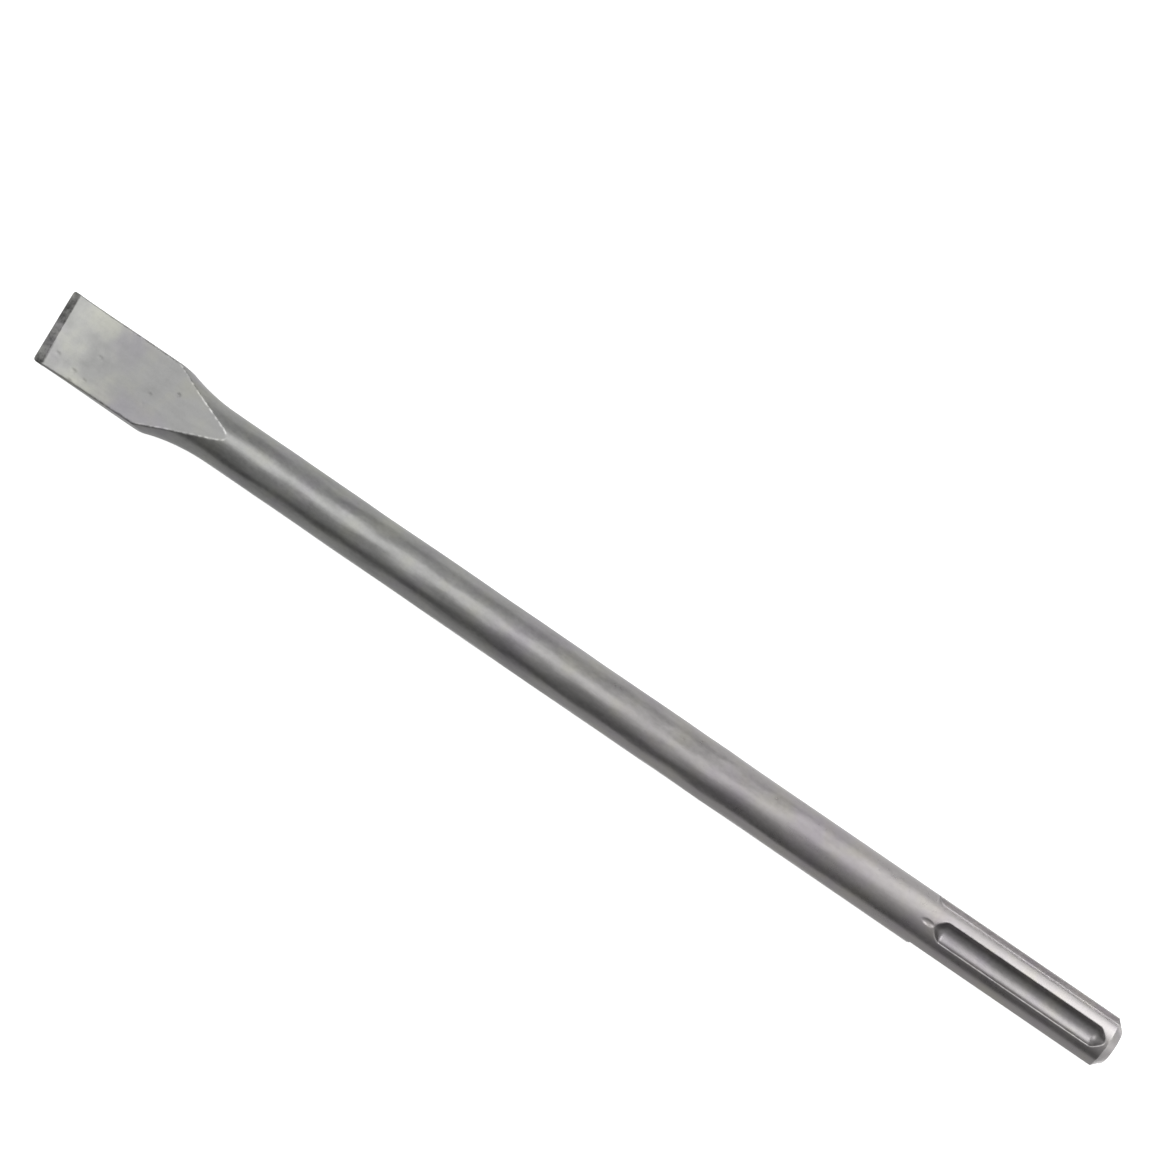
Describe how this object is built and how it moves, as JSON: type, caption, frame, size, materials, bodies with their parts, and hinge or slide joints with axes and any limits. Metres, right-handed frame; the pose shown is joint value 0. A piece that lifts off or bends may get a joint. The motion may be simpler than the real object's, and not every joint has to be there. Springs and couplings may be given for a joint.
{
  "type": "flat chisel",
  "caption": "Flat chisel for a rotary hammer: a round steel bar forged into a wide flat blade with a bevelled cutting edge, and a grooved shank that a tool holder turns and locks.",
  "frame": {"origin": "centre of the butt face, which the hammer's piston strikes", "axes": "+X along the bar, out of the butt; the cutting edge lies at -X. +Z out of the blade's upper flat. +Y across the blade, towards the side of the shank with the narrow driving grooves"},
  "size_m": [0.3999, 0.0251, 0.0182],
  "materials": {
    "forged_steel": "satin, blasted and lightly brushed"
  },
  "bodies": {
    "root": {"flat_chisel": "forged_steel"}
  },
  "joints": []
}
